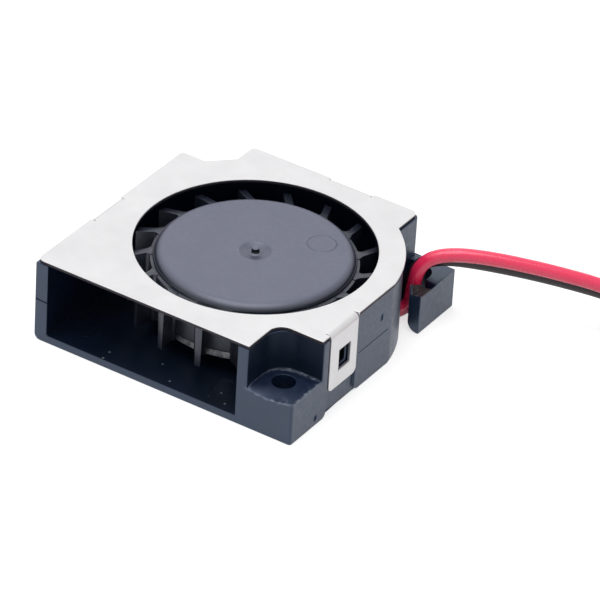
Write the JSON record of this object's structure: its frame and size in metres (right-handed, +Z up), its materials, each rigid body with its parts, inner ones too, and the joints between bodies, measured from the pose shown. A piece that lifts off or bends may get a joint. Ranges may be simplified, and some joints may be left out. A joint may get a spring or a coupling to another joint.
{
  "type": "dc blower fan",
  "caption": "Small square dc blower fan: dark plastic scroll case, bright sheet cover with a round inlet, bladed rotor, side outlet and leads to a connector.",
  "frame": {"origin": "middle of the square case's underside", "axes": "+Z up along the rotor's axis through the inlet, -Y out of the outlet, +X towards the side where the leads leave"},
  "size_m": [0.0817, 0.0478, 0.0108],
  "materials": {
    "case_plastic": "satin",
    "cover_steel": "satin",
    "rotor_plastic": "satin",
    "yoke_steel": "satin",
    "magnet": "matte",
    "shaft_steel": "polished",
    "clip_plastic": "satin",
    "bearing_bronze": "matte",
    "pad_plastic": "satin",
    "ring_plastic": "satin",
    "lamination_steel": "satin",
    "insulator_plastic": "satin",
    "copper": "gloss",
    "pin_brass": "satin",
    "board": "gloss",
    "chip_plastic": "satin",
    "capacitor_body": "satin",
    "resistor_body": "satin",
    "solder": "gloss",
    "red_insulation": "satin",
    "black_insulation": "satin",
    "tie_plastic": "satin",
    "connector_plastic": "satin",
    "contact_brass": "satin"
  },
  "bodies": {
    "case": {"housing": "case_plastic", "cover_plate": "cover_steel", "sleeve_bearing": "bearing_bronze", "thrust_pad": "pad_plastic", "oil_ring": "ring_plastic", "stator_core": "lamination_steel", "insulator_upper": "insulator_plastic", "insulator_lower": "insulator_plastic", "winding_1": "copper", "winding_2": "copper", "winding_3": "copper", "winding_4": "copper", "terminal_pins": "pin_brass", "circuit_board": "board", "driver_chip": "chip_plastic", "capacitor": "capacitor_body", "resistor": "resistor_body", "solder_joints": "solder", "lead_red": "red_insulation", "lead_black": "black_insulation", "lead_coil": "black_insulation", "coil_tie": "tie_plastic", "lead_red_tail": "red_insulation", "lead_black_tail": "black_insulation", "connector_housing": "connector_plastic", "connector_contacts": "contact_brass"},
    "rotor": {"impeller": "rotor_plastic", "rotor_yoke": "yoke_steel", "rotor_magnet": "magnet", "shaft": "shaft_steel", "retaining_clip": "clip_plastic"}
  },
  "joints": [
    {"name": "rotor_spin", "type": "hinge", "parent": "case", "child": "rotor", "pos_m": [0.0006, 0, 0], "axis": [0, 0, 1], "continuous": true}
  ]
}
